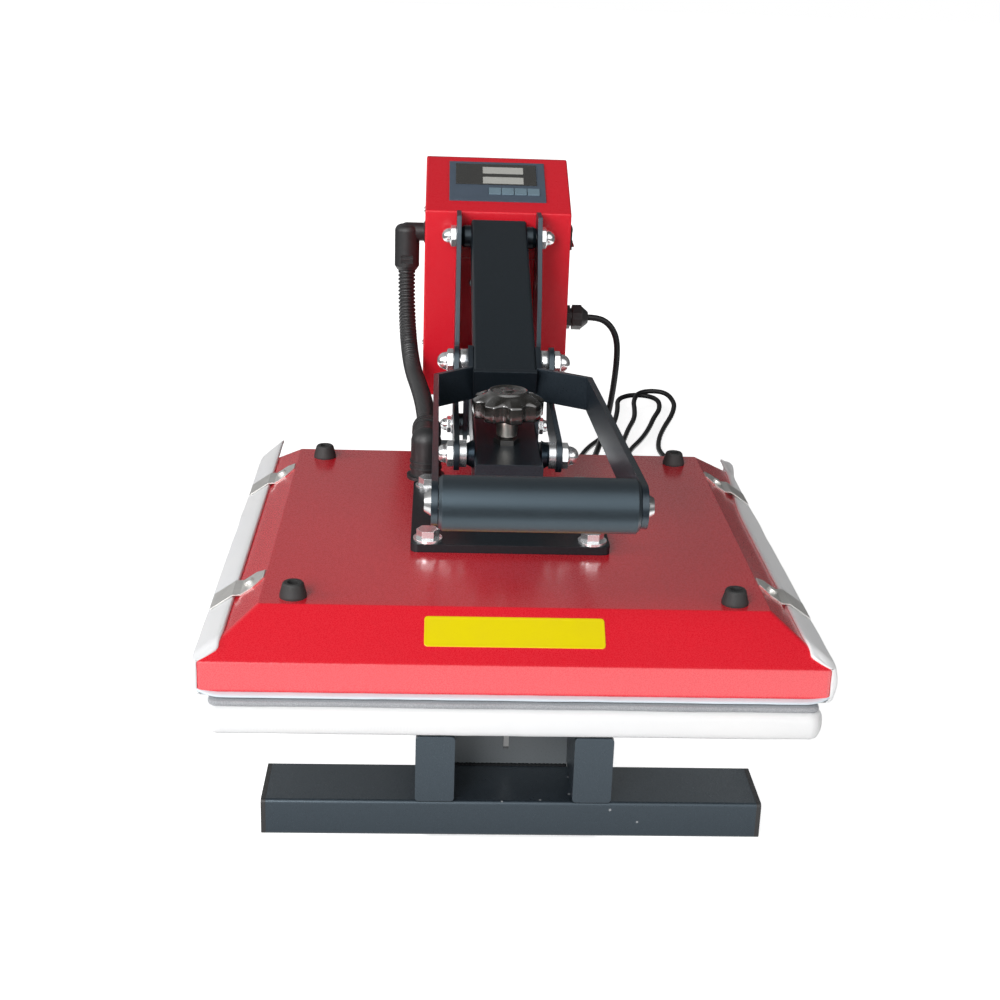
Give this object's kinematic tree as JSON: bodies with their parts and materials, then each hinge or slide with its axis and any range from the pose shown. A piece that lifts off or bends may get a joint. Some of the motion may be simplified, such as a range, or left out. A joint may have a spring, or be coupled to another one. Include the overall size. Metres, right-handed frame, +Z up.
{
  "type": "flat heat press",
  "caption": "Clamshell flat heat press: square platens, cranked toggle lever with a cross grip, pressure knob, control box on a mast, tube base with cross feet and a looped cord.",
  "frame": {"origin": "on the table, below the middle of the press's bounding box, the cord left out", "axes": "+X to the operator's right, +Y from the operator to the control box, +Z up"},
  "size_m": [0.4529, 1.1425, 0.3515],
  "materials": {
    "black_steel": "fine-texture black powder coat",
    "red_steel": "fine-texture red powder coat",
    "zinc": "bright zinc-plated steel",
    "steel": "plain steel",
    "aluminium": "cast and milled aluminium",
    "black_plastic": "matt black plastic",
    "gloss_black": "shiny black plastic",
    "black_rubber": "black rubber",
    "grip_foam": "satin black sleeve",
    "silicone": "gray silicone sheet",
    "white_cloth": "white coated cloth",
    "wool": "pressed mineral wool",
    "slate_plate": "slate printed plate",
    "dark_window": "smoked window",
    "lcd": "gray liquid-crystal readout",
    "key_blue": "pale key",
    "board_green": "circuit board"
  },
  "bodies": {
    "base": {"front_foot": "black_steel", "rear_foot": "black_steel", "foot_end_caps": "black_plastic", "rail_left": "black_steel", "rail_right": "black_steel", "rail_tie_plate": "black_steel", "lower_platen": "aluminium", "lower_platen_cloth": "white_cloth", "silicone_pad": "silicone", "platen_bolts": "zinc", "mast_plate_left": "black_steel", "mast_plate_right": "black_steel", "mast_brace": "black_steel", "mast_pivot_bolts": "zinc", "mast_pivot_nuts": "zinc", "control_box_shell": "red_steel", "control_box_back": "red_steel", "box_screws": "zinc", "display_plate": "slate_plate", "display_window": "dark_window", "readouts": "lcd", "controller_board": "board_green", "power_relay": "black_plastic", "switch_frame": "black_plastic", "cable_gland": "black_plastic", "hose_elbow_upper": "black_plastic", "heater_hose": "black_plastic", "power_cord": "black_rubber", "power_plug": "black_plastic"},
    "rocker": {"rocker_switch": "black_plastic"},
    "key_a": {"key_1": "key_blue"},
    "key_b": {"key_2": "key_blue"},
    "key_c": {"key_3": "key_blue"},
    "key_d": {"key_4": "key_blue"},
    "arm": {"platen_arm": "black_steel", "arm_lugs": "black_steel", "arm_screw_nuts": "steel", "toe_bosses": "zinc", "mounting_plate": "black_steel", "mounting_bolts": "zinc", "platen_cover": "red_steel", "heating_plate": "aluminium", "insulation": "wool", "platen_cloth": "white_cloth", "cloth_clips": "zinc", "cover_bumpers": "black_rubber", "hose_elbow_lower": "black_plastic"},
    "lever": {"lever_tube": "black_steel", "fork_left": "black_steel", "fork_right": "black_steel", "knee_bolt": "zinc", "knee_nuts": "zinc", "grip_rod": "zinc"},
    "grip": {"handle_grip": "grip_foam"},
    "links": {"link_left": "black_steel", "link_right": "black_steel", "toe_nuts": "zinc"},
    "screw": {"pressure_screw": "steel"},
    "knob": {"pressure_knob": "gloss_black"}
  },
  "joints": [
    {"name": "lever_lift", "type": "hinge", "parent": "base", "child": "lever", "pos_m": [0, 0.2477, 0.2945], "axis": [-1, 0, 0], "range_deg": [0, 89]},
    {"name": "arm_lift", "type": "hinge", "parent": "base", "child": "arm", "pos_m": [0, 0.1938, 0.1336], "axis": [-1, 0, 0], "range_deg": [0, 60], "deforming": ["heater_hose"]},
    {"name": "link_swing", "type": "hinge", "parent": "lever", "child": "links", "pos_m": [0, 0.05769, 0.22682], "axis": [-1, 0, 0], "range_deg": [-128, 0]},
    {"name": "grip_spin", "type": "hinge", "parent": "lever", "child": "grip", "pos_m": [0.0055, -0.338, 0.244], "axis": [1, 0, 0], "continuous": true},
    {"name": "screw_feed", "type": "slide", "parent": "arm", "child": "screw", "axis": [0, 0, 1], "range_m": [-0.002, 0.004]},
    {"name": "knob_turn", "type": "hinge", "parent": "screw", "child": "knob", "pos_m": [0, -0.036, 0.21], "axis": [0, 0, 1], "range_deg": [-481, 961]},
    {"name": "rocker_tilt", "type": "hinge", "parent": "base", "child": "rocker", "pos_m": [0.0666, 0.279, 0.2905], "axis": [0, 1, 0], "range_deg": [0, 14]},
    {"name": "key_1_press", "type": "slide", "parent": "base", "child": "key_a", "axis": [0, 0.3997, -0.9167], "range_m": [0, 0.0006], "stiffness_N_per_m": 1500, "springref_m": -0.0004},
    {"name": "key_2_press", "type": "slide", "parent": "base", "child": "key_b", "axis": [0, 0.3997, -0.9167], "range_m": [0, 0.0006], "stiffness_N_per_m": 1500, "springref_m": -0.0004},
    {"name": "key_3_press", "type": "slide", "parent": "base", "child": "key_c", "axis": [0, 0.3997, -0.9167], "range_m": [0, 0.0006], "stiffness_N_per_m": 1500, "springref_m": -0.0004},
    {"name": "key_4_press", "type": "slide", "parent": "base", "child": "key_d", "axis": [0, 0.3997, -0.9167], "range_m": [0, 0.0006], "stiffness_N_per_m": 1500, "springref_m": -0.0004}
  ],
  "couplings": [
    {"joint": "arm_lift", "follows": "lever_lift", "ratio": 0.674},
    {"joint": "link_swing", "follows": "lever_lift", "ratio": -1.438},
    {"joint": "knob_turn", "follows": "screw_feed", "rad_per_m": 4188.8}
  ]
}
